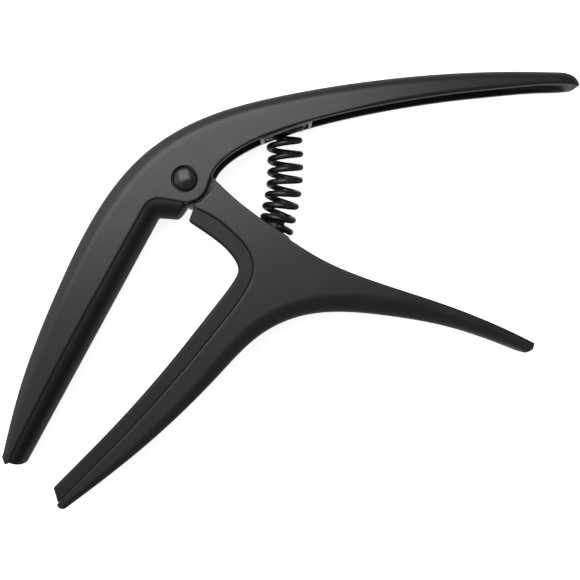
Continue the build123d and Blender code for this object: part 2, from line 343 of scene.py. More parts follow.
def join_runs(runs):
    """The closed line through all runs, with rounded corners, and the rounding at each point."""
    cuts = []
    largest_share, corner_points = 0.45, 7
    for i, run in enumerate(runs):
        turn = turn_between(runs[i - 1].points, run.points)
        shortest = min(np.linalg.norm(r.points[-1] - r.points[0]) for r in (runs[i - 1], run))
        cut = min(run.corner * math.tan(turn / 2), largest_share * shortest)
        cuts.append(cut if turn > CORNER_TURN else 0.0)
    points, roundings = [], []
    for i, run in enumerate(runs):
        after = (i + 1) % len(runs)
        body = trim(run.points, cuts[i], cuts[after])
        parts = [(body, run.start, run.end)]
        if cuts[after] > 0:
            following = trim(runs[after].points, cuts[after], 0.0)
            corner = bend(body[-1], following[0], run.points[-1], corner_points)
            parts.append((corner, run.end, runs[after].start))
        for part, start, end in parts:
            share = np.linspace(0.0, 1.0, len(part))[:, None]
            points.append(part[:-1])
            roundings.append(((1 - share) * np.array(start) + share * np.array(end))[:-1])
    return np.concatenate(points), np.concatenate(roundings)


def inward_directions(points):
    """At each point of an anticlockwise line, the step that moves both its sides inwards by 1."""
    after = np.roll(points, -1, axis=0) - points
    after /= np.linalg.norm(after, axis=1)[:, None]
    normal = np.stack([-after[:, 1], after[:, 0]], axis=1)
    before = np.roll(normal, 1, axis=0)
    return (normal + before) / (1 + (normal * before).sum(axis=1))[:, None]


def thickness(points, inward):
    """How far each point is from the opposite side of the outline."""
    unit = inward / np.linalg.norm(inward, axis=1)[:, None]
    side = np.roll(points, -1, axis=0) - points
    gap = points[None] - points[:, None]
    across = cross(unit[:, None], side[None])
    across = np.where(np.abs(across) < PARALLEL, PARALLEL, across)
    distance = cross(gap, side[None]) / across
    where = cross(gap, unit[:, None]) / across
    own_side = 0.02
    hit = (distance > own_side) & (where >= 0) & (where <= 1)
    return np.where(hit, distance, NO_LIMIT).min(axis=1)


def corner_radius(points):
    """The radius of the outline where it turns outwards, and a large number elsewhere."""
    before = points - np.roll(points, 1, axis=0)
    after = np.roll(points, -1, axis=0) - points
    lengths = np.linalg.norm(before, axis=1), np.linalg.norm(after, axis=1)
    turn = np.arcsin(np.clip(cross(before, after) / (lengths[0] * lengths[1]), -1, 1))
    radius = (lengths[0] + lengths[1]) / 2 / np.maximum(turn, BEND_TURN)
    return np.where(turn > BEND_TURN, radius, NO_LIMIT)


def smoothed(values, points):
    """The values, evened out along the closed outline."""
    lengths = np.linalg.norm(np.roll(points, -1, axis=0) - points, axis=1)
    along = distances(points)
    apart = np.abs(along[:, None] - along[None])
    apart = np.minimum(apart, lengths.sum() - apart)
    weight = np.exp(-((apart / BLEND) ** 2)) * lengths[None]
    return (weight * values[None]).sum(axis=1) / weight.sum(axis=1)


def crossings(ring):
    """The pairs of sides of a closed line that cross each other."""
    count = len(ring)
    side = np.roll(ring, -1, axis=0) - ring
    gap = ring[None] - ring[:, None]
    across = cross(side[:, None], side[None])
    parallel = np.abs(across) < PARALLEL
    across = np.where(parallel, 1.0, across)
    hit = ~parallel
    for share in (cross(gap, side[None]) / across, cross(gap, side[:, None]) / across):
        hit &= (share > -SAME) & (share < 1 + SAME)
    i, j = np.nonzero(np.triu(hit, 2))
    apart = ~((i == 0) & (j == count - 1))
    return i[apart], j[apart]


def untangled(points, inward, reach):
    """The inward reach, made smaller where the line moved in by it would cross itself."""
    count = len(points)
    tries, short_loop, shrunk, evenings = 80, 40, 0.88, 3
    for _ in range(tries):
        pairs = list(zip(*crossings(points + inward * reach[:, None])))
        if not pairs:
            break
        shrink = np.ones(count)
        for i, j in pairs:
            if j - i < short_loop:
                spots = np.arange(i - 1, j + 3)
            elif count - (j - i) < short_loop:
                spots = np.arange(j - 1, i + count + 3)
            else:
                spots = np.concatenate([np.arange(i - 2, i + 4), np.arange(j - 2, j + 4)])
            shrink[spots % count] = shrunk
        for _ in range(evenings):
            shrink = np.minimum(shrink, (np.roll(shrink, 1) + shrink + np.roll(shrink, -1)) / 3)
        reach = reach * shrink
    return reach


def outline_of(runs):
    """Everything that a slab needs to know about its outline."""
    points, rounding = join_runs(runs)
    apart = np.linalg.norm(points - np.roll(points, 1, axis=0), axis=1) > NEAREST
    points, rounding = points[apart], rounding[apart]
    if is_clockwise(points):
        points, rounding = points[::-1], rounding[::-1]
    inward = inward_directions(points)
    thick = thickness(points, inward)
    bent = corner_radius(points)
    most = np.minimum(rounding[:, 2] * thick, CORNER_SHARE * bent)
    inset = np.minimum(smoothed(np.minimum(rounding[:, 0], most), points), most)
    depth = smoothed(rounding[:, 1], points)
    support = smoothed(np.minimum(SUPPORT, SUPPORT_SHARE * thick), points)
    support = np.minimum(support, SUPPORT_CORNER_SHARE * bent)
    kept = untangled(points, inward, inset + support) / (inset + support)
    return Outline(points, inward, inset * kept, depth, support * kept)


def slab(name, runs, low, high, steps=8):
    """A plate between two heights whose two faces meet its sides in elliptical roundings."""
    outline = outline_of(runs)
    angles = np.linspace(0.0, math.pi / 2, steps + 1)
    shape = [(outline.inset + outline.support, 0 * outline.depth)]
    for a in angles:
        shape.append((outline.inset * (1 - math.sin(a)), outline.depth * (1 - math.cos(a))))
    rings = [(inset, high - depth) for inset, depth in shape]
    top, bottom = rings[-1][1], low + shape[-1][1]
    rings += [(0 * top, top + (bottom - top) * share) for share in (1 / 3, 2 / 3)]
    rings += [(inset, low + depth) for inset, depth in reversed(shape)]
    count = len(outline.points)
    verts = []
    for inset, height in rings:
        flat = outline.points + outline.inward * inset[:, None]
        verts.append(np.column_stack([flat, np.broadcast_to(height, count)]))
    here = np.arange(count)
    after = np.roll(here, -1)
    faces = [here.tolist(), ((len(rings) - 1) * count + here[::-1]).tolist()]
    for ring in range(len(rings) - 1):
        a, b = ring * count, (ring + 1) * count
        faces += np.stack([a + here, b + here, b + after, a + after], axis=1).tolist()
    return mesh_object(name, np.concatenate(verts), faces)


# ---------------------------------------- meshes
DOUBLED = 1e-7  # points that are closer than this, in metres, are one point


def mesh_object(name, verts, faces):
    """A mesh object from points in millimetres."""
    mesh = bpy.data.meshes.new(name)
    mesh.from_pydata((np.array(verts, float) * MM).tolist(), [], faces)
    mesh.validate()
    made = bpy.data.objects.new(name, mesh)
    bpy.context.scene.collection.objects.link(made)
    return made


def prism(name, points, low, high):
    """A plain prism on a closed outline, for cutting and joining."""
    points = np.array(points, float)
    if is_clockwise(points):
        points = points[::-1]
    count = len(points)
    verts = [(*p, low) for p in points] + [(*p, high) for p in points]
    faces = [list(range(count))[::-1], list(range(count, 2 * count))]
    faces += [[i, (i + 1) % count, count + (i + 1) % count, count + i] for i in range(count)]
    return mesh_object(name, verts, faces)


def lathe(name, profile, segments=96, base=(0.0, 0.0, 0.0), axis=(0.0, 0.0, 1.0)):
    """A solid of revolution. The profile is a closed loop of (radius, height) points, or an open
    one that starts and ends on the axis."""
    up = Vector(axis).normalized()
    across = up.orthogonal().normalized()
    third = up.cross(across)
    base = Vector(base)
    closed = profile[0][0] > 0
    verts, rings = [], []
    for radius, height in profile:
        first = len(verts)
        if radius == 0:
            verts.append(base + up * height)
            rings.append([first] * segments)
            continue
        for i in range(segments):
            turn = 2 * math.pi * i / segments
            out = across * math.cos(turn) + third * math.sin(turn)
            verts.append(base + up * height + out * radius)
        rings.append(list(range(first, first + segments)))
    faces = []
    pairs = list(zip(rings, rings[1:])) + ([(rings[-1], rings[0])] if closed else [])
    for a, b in pairs:
        for i in range(segments):
            j = (i + 1) % segments
            loop = [a[i], a[j], b[j], b[i]]
            faces.append([v for k, v in enumerate(loop) if v not in loop[:k]])
    made = mesh_object(name, [tuple(v) for v in verts], faces)
    face_outwards(made)
    return made


def cylinder(name, radius, low, high, *place):
    """A solid cylinder, for cutting and joining. The place is as for a lathe."""
    return lathe(name, [(0, low), (radius, low), (radius, high), (0, high)], *place)


@contextmanager
def edited(obj):
    """The object's mesh, to be changed and then written back."""
    made = bmesh.new()
    made.from_mesh(obj.data)
    yield made
    made.to_mesh(obj.data)
    made.free()


def face_outwards(obj):
    """Turns every face of a closed mesh outwards."""
    with edited(obj) as made:
        bmesh.ops.recalc_face_normals(made, faces=made.faces[:])


def combine(obj, tool, operation):
    """Joins the tool to the object or cuts it away, and removes the tool."""
    modifier = obj.modifiers.new("combine", "BOOLEAN")
    modifier.object = tool
    modifier.operation = operation
    modifier.solver = "EXACT"
    graph = bpy.context.evaluated_depsgraph_get()
    mesh = bpy.data.meshes.new_from_object(obj.evaluated_get(graph))
    obj.modifiers.clear()
    obj.data = mesh
    bpy.data.objects.remove(tool)


def tidy(obj, sharp):
    """Merges doubled points, then shades the mesh smooth apart from its sharp edges."""
    with edited(obj) as made:
        bmesh.ops.remove_doubles(made, verts=made.verts[:], dist=DOUBLED)
        bmesh.ops.dissolve_degenerate(made, edges=made.edges[:], dist=DOUBLED)
    obj.data.polygons.foreach_set("use_smooth", [True] * len(obj.data.polygons))
    obj.data.set_sharp_from_angle(angle=math.radians(sharp))


def finish_piece(obj, body, materials, replaced, sharp=32):
    """Tidies a piece, gives it its materials and body, and hides the CAD node that it stands for.
    """
    tidy(obj, sharp)
    for material in materials:
        obj.data.materials.append(material)
    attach(obj, body)
    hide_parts(replaced)


# ---------------------------------------- materials
# Scales of noise are per metre, and depths of relief are in metres.
COLOUR_A, COLOUR_B, COLOUR_RESULT = 6, 7, 2  # the Mix node's colour sockets


def feed(tree, node, links):
    """Links the sources that are sockets to the node's inputs, and sets the others as values."""
    for socket, source in links:
        if isinstance(source, bpy.types.NodeSocket):
            tree.links.new(source, node.inputs[socket])
        else:
            node.inputs[socket].default_value = source


def adder(tree):
    """A function that adds a node to the tree."""

    def add(kind, links=(), **values):
        node = tree.nodes.new(kind)
        for key, value in values.items():
            setattr(node, key, value)
        feed(tree, node, links)
        return node

    return add


def new_material(name):
    """A node material, a function that adds its nodes and one that feeds its shader."""
    material = bpy.data.materials.new(name)
    material.use_nodes = True
    tree = material.node_tree

    def surface(*links):
        feed(tree, tree.nodes["Principled BSDF"], links)

    return material, adder(tree), surface


def grey(level):
    """An opaque grey."""
    return (level, level, level, 1.0)


def object_place(add):
    """The object's own coordinates."""
    return add("ShaderNodeTexCoord").outputs["Object"]


def mapped(add, place, scale):
    """The coordinates, scaled along each axis."""
    return add("ShaderNodeMapping", [("Vector", place), ("Scale", scale)]).outputs["Vector"]


def calculate(add, operation, *values):
    """The result of a math node."""
    return add("ShaderNodeMath", list(enumerate(values)), operation=operation).outputs[0]


def noise(add, place, scale, detail=2.0, rough=0.5):
    """A noise value between 0 and 1 over the given coordinates."""
    links = [("Vector", place), ("Scale", scale), ("Detail", detail), ("Roughness", rough)]
    return add("ShaderNodeTexNoise", links).outputs["Fac"]


def spread(add, value, low, high, start=0.3, end=0.7):
    """Maps a noise value from the range between start and end to the one from low to high."""
    links = [("Value", value), ("From Min", start), ("From Max", end), ("To Min", low)]
    return add("ShaderNodeMapRange", [*links, ("To Max", high)]).outputs["Result"]


def tone(add, value, dark, light):
    """A colour that varies with the value from dark to light."""
    links = [("Factor", value), (COLOUR_A, dark), (COLOUR_B, light)]
    return add("ShaderNodeMix", links, data_type="RGBA").outputs[COLOUR_RESULT]


def relief(add, height, depth):
    """A bump of the given depth."""
    return add("ShaderNodeBump", [("Height", height), ("Distance", depth)]).outputs["Normal"]


def textured(name, shades, rough, grain, depth, metal=0.0, patches=90.0, squeeze=1, specular=0.5):
    """A surface whose colour and gloss vary in soft patches, with a fine grain in relief. The
    pattern can be squeezed across the capo."""
    material, add, surface = new_material(name)
    place = mapped(add, object_place(add), (1, 1, squeeze))
    surface(
        ("Base Color", tone(add, noise(add, place, patches, 3.0), *shades)),
        ("Roughness", spread(add, noise(add, place, patches * 3, 4.0), *rough)),
        ("Normal", relief(add, noise(add, place, grain, 3.0, 0.6), depth)),
        ("Metallic", metal),
        ("Specular IOR Level", specular),
    )
    return material


def coated_alloy():
    """Black powder coat: satin, with fine orange peel and faint rubbed spots."""
    material, add, surface = new_material("coated_alloy")
    place = object_place(add)
    patch = noise(add, place, 70.0, 3.0)
    colour = tone(add, patch, (0.0105, 0.0105, 0.0106, 1.0), (0.0135, 0.0135, 0.0136, 1.0))
    rub = spread(add, noise(add, place, 420.0, 5.0, 0.7), 0.0, 1.0, start=0.66, end=0.78)
    rough = spread(add, noise(add, place, 260.0, 4.0), 0.32, 0.36)
    smoother = calculate(add, "MULTIPLY", rub, -0.06)
    peel, speck = noise(add, place, 3200.0), noise(add, place, 9000.0, 1.0)
    surface(
        ("Base Color", tone(add, rub, colour, grey(0.02))),
        ("Roughness", calculate(add, "ADD", rough, smoother)),
        ("Normal", relief(add, calculate(add, "ADD", peel, speck), 0.0000022)),
    )
    return material


def drawn_wire():
    """Blackened spring wire: glossy, with fine drawing lines along the wire."""
    material, add, surface = new_material("blackened_wire")
    chart = add("ShaderNodeUVMap", uv_map="wire").outputs["UV"]
    streak = noise(add, mapped(add, chart, (9.0, 0.5, 1.0)), 6.0, 4.0, 0.65)
    patch = noise(add, object_place(add), 300.0, 3.0)
    surface(
        ("Base Color", tone(add, patch, (0.006, 0.006, 0.0062, 1.0), grey(0.012))),
        ("Roughness", spread(add, streak, 0.2, 0.3)),
        ("Normal", relief(add, streak, 0.000004)),
    )
    return material


def turned(name, shades, rough, metal):
    """Turned metal: fine rings about the pivot axis, cut by the tool."""
    material, add, surface = new_material(name)
    place = object_place(add)
    apart = add("ShaderNodeSeparateXYZ", [(0, place)]).outputs
    squares = [calculate(add, "POWER", apart[axis], 2.0) for axis in "XY"]
    radius = calculate(add, "SQRT", calculate(add, "ADD", *squares))
    ringed = add("ShaderNodeCombineXYZ", [("X", radius), ("Z", apart["Z"])]).outputs[0]
    groove = noise(add, ringed, 5000.0, 3.0, 0.6)
    surface(
        ("Base Color", tone(add, noise(add, place, 500.0, 3.0), *shades)),
        ("Roughness", spread(add, groove, *rough)),
        ("Normal", relief(add, groove, 0.0000015)),
        ("Metallic", metal),
    )
    return material


COATED = coated_alloy()
WIRE = drawn_wire()
RUBBER_SHADES = grey(0.0105), grey(0.0135)
RUBBER = textured("pad_rubber", RUBBER_SHADES, (0.44, 0.52), 4200.0, 0.000005, specular=0.36)
POST_SHADES = grey(0.016), grey(0.024)
POST_STEEL = textured("post_steel", POST_SHADES, (0.32, 0.42), 5200.0, 0.000003)
BARE_SHADES = (0.50, 0.50, 0.51, 1.0), (0.62, 0.62, 0.63, 1.0)
BARE = textured("bare_alloy", BARE_SHADES, (0.28, 0.42), 1800.0, 0.000004, 1.0, 400.0, squeeze=6)
BLACK_STEEL = turned("black_steel", (grey(0.010), grey(0.015)), (0.2, 0.26), 0.0)
BRONZE_SHADES = (0.42, 0.26, 0.11, 1.0), (0.52, 0.34, 0.16, 1.0)
BRONZE = turned("bearing_bronze", BRONZE_SHADES, (0.3, 0.42), 1.0)
STEEL_SHADES = (0.46, 0.46, 0.47, 1.0), (0.56, 0.56, 0.57, 1.0)
STEEL = turned("washer_steel", STEEL_SHADES, (0.22, 0.34), 1.0)

# ---------------------------------------- roundings
SHARP = Rounding(0.3, 0.3, 0.12)
PAD_SIDE = Rounding(0.45, 0.45, 0.12)
RIM = Rounding(0.45, 0.45, 0.12)
WIDE_RIM = Rounding(0.85, 0.6, 0.2)
JAW_BACK = Rounding(2.4, 2.5, 0.68)
BEND_BACK = Rounding(3.6, 3.3, 0.7)
ROUND_BACK = Rounding(2.9, 3.0, 0.68)
SLIM_BACK = Rounding(2.2, 2.6, 0.68)
JAW_TIP = Rounding(1.1, 1.1, 0.5)
NOSE_END = Rounding(2.4, 3.4, 0.68)
LOWER_JAW_BACK = Rounding(2.6, 2.6, 0.6)
LOWER_HANDLE = Rounding(4.2, 4.6, 0.8)
SOFT_EDGE = Rounding(0.55, 0.55, 0.2)
LOWER_END = Rounding(0.9, 1.6, 0.4)
PAD_EDGE = Rounding(0.2, 0.2, 0.1)
PAD_FACE = Rounding(0.7, 0.7, 0.3)
INNER_EDGE = Rounding(0.9, 0.9, 0.3)
SCOOPED = Rounding(1.2, 3.4, 0.5)
CUT_EDGE = Rounding(0.1, 0.1, 0.1)
BLOCK_EDGE = Rounding(0.25, 0.25, 0.1)
BACK_SHARES = (0.14, 0.41, 0.6)  # where on its way along the upper back the rounding changes
RIM_NARROWS = (46.0, 36.0)  # between these x the rim's rounding narrows


# ---------------------------------------- upper lever
def upper_runs():
    """The upper lever's outline, without its pad, from the jaw tip over the back."""
    back = spline(UPPER_BACK)
    crown = line(back[-1], NOSE_START)[:-1]
    nose = np.concatenate([crown, resample(bend(NOSE_START, NOSE, NOSE_CORNER, 24), NOSE_STEP)])
    ear_start = on_circle(EAR_R, EAR_START)
    rim = spline([*UPPER_RIM, ear_start], (-1, 0.05), on_circle(1, EAR_START - 90))
    ear = arc(EAR_R, EAR_START, EAR_END)
    ear[-1] = FRET_SEAT[0]
    seat = fill_in(rounded(FRET_SEAT, FRET_SEAT_ROUNDS))
    jaw, elbow, handle = (int(share * len(back)) for share in BACK_SHARES)
    wide, narrow = (int(np.argmax(rim[:, 0] < x)) for x in RIM_NARROWS)
    return [
        Run(back[: jaw + 1], JAW_TIP, JAW_BACK, 0.5),
        Run(back[jaw : elbow + 1], JAW_BACK, BEND_BACK, 0),
        Run(back[elbow : handle + 1], BEND_BACK, ROUND_BACK, 0),
        Run(back[handle:], ROUND_BACK, SLIM_BACK, 0),
        Run(nose, SLIM_BACK, NOSE_END, 0),
        Run(line(NOSE, UPPER_RIM[0]), RIM, WIDE_RIM, 0.8),
        Run(rim[: wide + 1], WIDE_RIM, WIDE_RIM, 0.4),
        Run(rim[wide : narrow + 1], WIDE_RIM, RIM, 0),
        Run(rim[narrow:], RIM, RIM, 0),
        Run(ear, SHARP, SHARP, 0),
        Run(seat, PAD_SIDE, PAD_SIDE, 0.2),
        Run(line(FRET_SEAT[-1], FRET_LIP[0]), SHARP, SHARP, 0.2),
        Run(line(*FRET_LIP), SHARP, SHARP, 0.3),
        Run(line(FRET_LIP[1], UPPER_BACK[0]), SHARP, SHARP, 0.5),
    ]


def channel_runs():
    """The hollow under the handle. Its roof keeps an even web under the back, and its end near
    the nose runs out in a scoop."""
    back = spline(UPPER_BACK)
    last = len(back) - 1
    roof = []
    for share in np.linspace(ROOF_START, ROOF_END, 30):
        i = int(round(share * last))
        along = back[min(i + 1, last)] - back[i - 1]
        outward = np.array([-along[1], along[0]]) / np.linalg.norm(along)
        web = np.interp(share, (ROOF_START, ROOF_END), (WEB_AT_PIVOT, WEB_AT_NOSE))
        roof.append(back[i] - outward * web)
    roof = resample(np.array([*roof, ROOF_TIP]))
    scoop = bend(ROOF_TIP, SCOOP_FOOT, SCOOP_CORNER, 12)
    below = [(SCOOP_FOOT[0], 0.0), CHANNEL_CUT, (roof[0][0], CHANNEL_CUT[1]), roof[0]]
    return [
        Run(roof, INNER_EDGE, INNER_EDGE, 0),
        Run(scoop, INNER_EDGE, SCOOPED, 0),
        Run(line(SCOOP_FOOT, below[0]), SCOOPED, SCOOPED, 0),
        *(Run(line(a, b), CUT_EDGE, CUT_EDGE, 0.1) for a, b in zip(below, below[1:])),
    ]


def tongue(name, points, jaw_side):
    """The rib on a pad's back that fills the jaw's groove, as in the CAD pieces."""
    points = np.array(points, float)
    along = (points[-1] - points[0]) / np.linalg.norm(points[-1] - points[0])
    into_jaw = np.array([along[1], -along[0]]) * jaw_side
    outer = points + into_jaw * TONGUE
    inner = points[::-1] - into_jaw * TONGUE_ROOT
    return prism(name, np.concatenate([outer, inner]), TONGUE_LOW, TONGUE_HIGH)


def pin_hole():
    """The stepped bore for the pivot pin and its two heads, with a deeper groove round each."""
    edge, beyond, under_head = 0.06, 1.0, 0.25
    outer, inner = HEAD_RECESS_R + edge, HEAD_R - under_head
    half = [(0, -beyond), (outer, -beyond), (outer, 0), (HEAD_RECESS_R, edge)]
    half += [(HEAD_RECESS_R, GROOVE_DEEP), (inner, GROOVE_DEEP)]
    half += [(inner, HEAD_RECESS), (PIN_R, HEAD_RECESS)]
    return lathe("pin_hole", half + [(radius, WIDTH - height) for radius, height in reversed(half)])


def taper_nose(lever):
    """Narrows the end of the handle towards its nose, like a spoon's."""
    start, end = TAPER_START * MM, NOSE[0] * MM
    cuts, snap = 16, 1e-8
    with edited(lever) as made:
        for place in np.linspace(start, end, cuts)[:-1]:
            parts = made.verts[:] + made.edges[:] + made.faces[:]
            cut = {"plane_co": (place, 0, 0), "plane_no": (1, 0, 0), "dist": snap}
            bmesh.ops.bisect_plane(made, geom=parts, **cut)
        for vert in made.verts:
            share = min(max((vert.co.x - start) / (end - start), 0.0), 1.0)
            vert.co.z = MID * MM + (vert.co.z - MID * MM) * math.sqrt(1 - TAPER * share**2)


def make_upper_lever():
    """The lever with the fretboard jaw, the fork and the channelled handle."""
    lever = slab("upper_lever_skin", upper_runs(), 0.0, WIDTH)
    combine(lever, slab("channel", channel_runs(), WALL, WIDTH - WALL, 5), "DIFFERENCE")
    combine(lever, cylinder("slot", SLOT_R, WALL, WIDTH - WALL, 128), "DIFFERENCE")
    combine(lever, pin_hole(), "DIFFERENCE")
    combine(lever, tongue("groove", FRET_TONGUE, 1), "DIFFERENCE")
    taper_nose(lever)
    finish_piece(lever, "upper", [COATED], "upper_lever")


def pad_lines():
    """Matching points on the straight pad's back and face, from its root to its tip."""
    back_turn = rounded(FRET_SEAT[:3], FRET_SEAT_ROUNDS[:1])[1:-1]
    face_turn = rounded(FRET_FACE[::-1], [FRET_FACE_ROUND])[1:-1]
    leg = rounded([back_turn[-1], *FRET_SEAT[2:]], FRET_SEAT_ROUNDS[1:])
    steps = (8, 14, 90)
    back = [line(FRET_SEAT[0], back_turn[0]), back_turn, np.array([*leg, FRET_LIP[0]])]
    face = [line(FRET_FACE[-1], face_turn[0]), face_turn, line(face_turn[-1], FRET_FACE[0])]
    lines = []
    for side in (back, face):
        made = []
        for part, count in zip(side, steps):
            known = distances(part)
            made.append(at_distances(part, known, np.linspace(0, known[-1], count + 1)[:-1]))
        lines.append(np.array([*np.concatenate(made), side[-1][-1]]))
    return lines


def make_fretboard_pad():
    """The straight rubber pad: a full D-shaped section, with its rounded ends drawn in."""
    back, face = pad_lines()
    known = distances((back + face) / 2)
    end_round, fullness, around, gap = 0.4, 0.92, 23, 0.05
    angles = np.linspace(0, math.pi / 2, 6)
    near_end = end_round * (1 - np.cos(angles))
    drawn_in = end_round * (1 - np.sin(angles))
    inner = known[(known > end_round + gap) & (known < known[-1] - end_round - gap)]
    places = np.concatenate([near_end, inner, known[-1] - near_end[::-1]])
    drawn = np.concatenate([drawn_in, 0 * inner, drawn_in[::-1]])
    back, face = at_distances(back, known, places), at_distances(face, known, places)
    reach = np.linalg.norm(face - back, axis=1)
    towards = (face - back) / reach[:, None]
    verts = []
    for turn in np.linspace(-math.pi / 2, math.pi / 2, around):
        out = abs(math.cos(turn)) ** fullness
        aside = math.copysign(abs(math.sin(turn)) ** fullness, turn)
        flat = back + towards * ((reach - drawn) * out)[:, None]
        verts.append(np.column_stack([flat, MID + (MID - PAD_INSET - drawn) * aside]))
    count = len(places)
    here = np.arange(count - 1)
    faces = [[k * count + end for k in range(around)] for end in (0, count - 1)]
    for k in range(around):
        a, b = k * count, (k + 1) % around * count
        faces += np.stack([a + here, a + here + 1, b + here + 1, b + here], axis=1).tolist()
    pad = mesh_object("fretboard_pad_rubber", np.concatenate(verts), faces)
    face_outwards(pad)
    combine(pad, tongue("rib", FRET_TONGUE, 1), "UNION")
    finish_piece(pad, "upper", [RUBBER], "fretboard_pad", 40)


# ---------------------------------------- lower lever
def lower_runs():
    """The lower lever's full-width outline, without its hub and pad."""
    back = spline(LOWER_BACK)
    third = len(back) // 3
    two_thirds = 2 * len(back) // 3
    shoulder_end = math.degrees(math.atan2(CORNER_SIDE[1], CORNER_SIDE[0]))
    shoulder = arc(SHOULDER_R, SHOULDER_START, shoulder_end)
    return [
        Run(back[: third + 1], LOWER_HANDLE, LOWER_HANDLE, 1.3),
        Run(back[third : two_thirds + 1], LOWER_HANDLE, LOWER_JAW_BACK, 0),
        Run(back[two_thirds:], LOWER_JAW_BACK, JAW_TIP, 0),
        Run(line(LOWER_BACK[-1], NECK_LIP[0]), SHARP, SHARP, 0.9),
        Run(line(*NECK_LIP), SHARP, SHARP, 0.4),
        Run(line(NECK_LIP[1], NECK_SEAT[0]), SHARP, SHARP, 0.3),
        Run(spline(NECK_SEAT), PAD_SIDE, PAD_SIDE, 0.2),
        Run(line(NECK_SEAT[-1], shoulder[0]), SHARP, SHARP, 0.1),
        Run(shoulder, SHARP, SHARP, 0.1),
        Run(line(shoulder[-1], CORNER), SHARP, SHARP, 0),
        Run(spline(LOWER_NECK), SHARP, SHARP, 0.35),
        Run(line(*SEAT_TABLE[:2]), SHARP, SHARP, 0.1),
        Run(line(*SEAT_TABLE[1:]), SHARP, SHARP, 0.35),
        Run(spline(LOWER_TOP), SHARP, SOFT_EDGE, 0.3),
        Run(line(LOWER_TOP[-1], LOWER_TIP), LOWER_END, LOWER_END, 0.3),
        Run(line(LOWER_TIP, LOWER_BACK[0]), LOWER_END, LOWER_END, 1.1),
    ]


def make_lower_lever():
    """The lever with the curved neck jaw, the hub and the solid handle."""
    lever = slab("lower_lever_skin", lower_runs(), 0.0, WIDTH)
    combine(lever, prism("tang", TANG, HUB_LOW, HUB_HIGH), "UNION")
    round_off = 0.25
    hub = [(0, HUB_LOW), (HUB_R - round_off, HUB_LOW), (HUB_R, HUB_LOW + round_off)]
    hub += [(HUB_R, HUB_HIGH - round_off), (HUB_R - round_off, HUB_HIGH), (0, HUB_HIGH)]
    combine(lever, lathe("hub", hub, 128), "UNION")
    combine(lever, cylinder("bore", BUSH_R, 0, WIDTH), "DIFFERENCE")
    above = 1.5
    place = 48, (*POST_FOOT, MID), POST_AXIS
    combine(lever, cylinder("socket", POST_TAIL_R, -POST_TAIL, above, *place), "DIFFERENCE")
    combine(lever, tongue("groove", NECK_TONGUE, -1), "DIFFERENCE")
    finish_piece(lever, "lower", [COATED], "lower_lever")


def make_neck_pad():
    """The curved rubber pad that bears on the back of the neck."""
    edge, face = PAD_EDGE, PAD_FACE
    root_bend = bend(NECK_ROOT_END, NECK_FACE[0], NECK_ROOT_CORNER, 8)
    tip_bend = bend(NECK_FACE[-1], NECK_TIP_END, NECK_TIP_CORNER, 8)
    runs = [
        Run(spline(NECK_SEAT), edge, edge, 0.2),
        Run(line(NECK_SEAT[-1], NECK_ROOT_END), edge, face, 0.2),
        Run(root_bend, face, face, 0.1),
        Run(spline(NECK_FACE), face, face, 0.1),
        Run(tip_bend, face, face, 0.1),
        Run(line(NECK_TIP_END, NECK_PAD_FOOT), face, edge, 0.3),
        Run(line(NECK_PAD_FOOT, NECK_SEAT[0]), edge, edge, 0.2),
    ]
    pad = slab("neck_pad_rubber", runs, PAD_INSET, WIDTH - PAD_INSET, 6)
    combine(pad, tongue("rib", NECK_TONGUE, -1), "UNION")
    finish_piece(pad, "lower", [RUBBER], "neck_pad")


# ---------------------------------------- spring, post and seat
# The spring bows on its way from the cup to the leaning flat. Turn 0 is where the wire passes the
# camera's side of the lowest coil, and each knot gives the coil's middle and how far it leans.
TURNS = [0.02, 0.25, 1.25, 2.25, 3.25, 4.25, 5.25, 6.25, 7.25, 8.25, 8.85]
COIL_X = [20.2, 20.2, 20.6, 21.18, 21.72, 22.02, 22.12, 22.1, 21.92, 22.2, 22.3]
COIL_Y = [-10.0, -9.9, -7.75, -4.95, -2.33, 0.53, 3.27, 6.2, 9.2, 12.0, 12.2]
COIL_LEAN = [30.0, 27.0, 17.0, 12.5, 8.3, 4.0, 1.2, 0.0, -1.0, 0.0, 5.0]


def wire_path(count):
    """Points along the middle of the wire."""
    at = np.linspace(TURNS[0], TURNS[-1], count)
    middle = cubic(TURNS, np.stack([COIL_X, COIL_Y], axis=1), at)
    lean = np.radians(cubic(TURNS, COIL_LEAN, at)[:, 0])
    zero = np.zeros(count)
    across = np.stack([np.cos(lean), -np.sin(lean), zero], axis=1)
    turn = 2 * math.pi * at
    out = np.sin(turn)[:, None] * across + np.cos(turn)[:, None] * np.array([0, 0, 1])
    return np.column_stack([middle, np.full(count, MID)]) + COIL_R * out


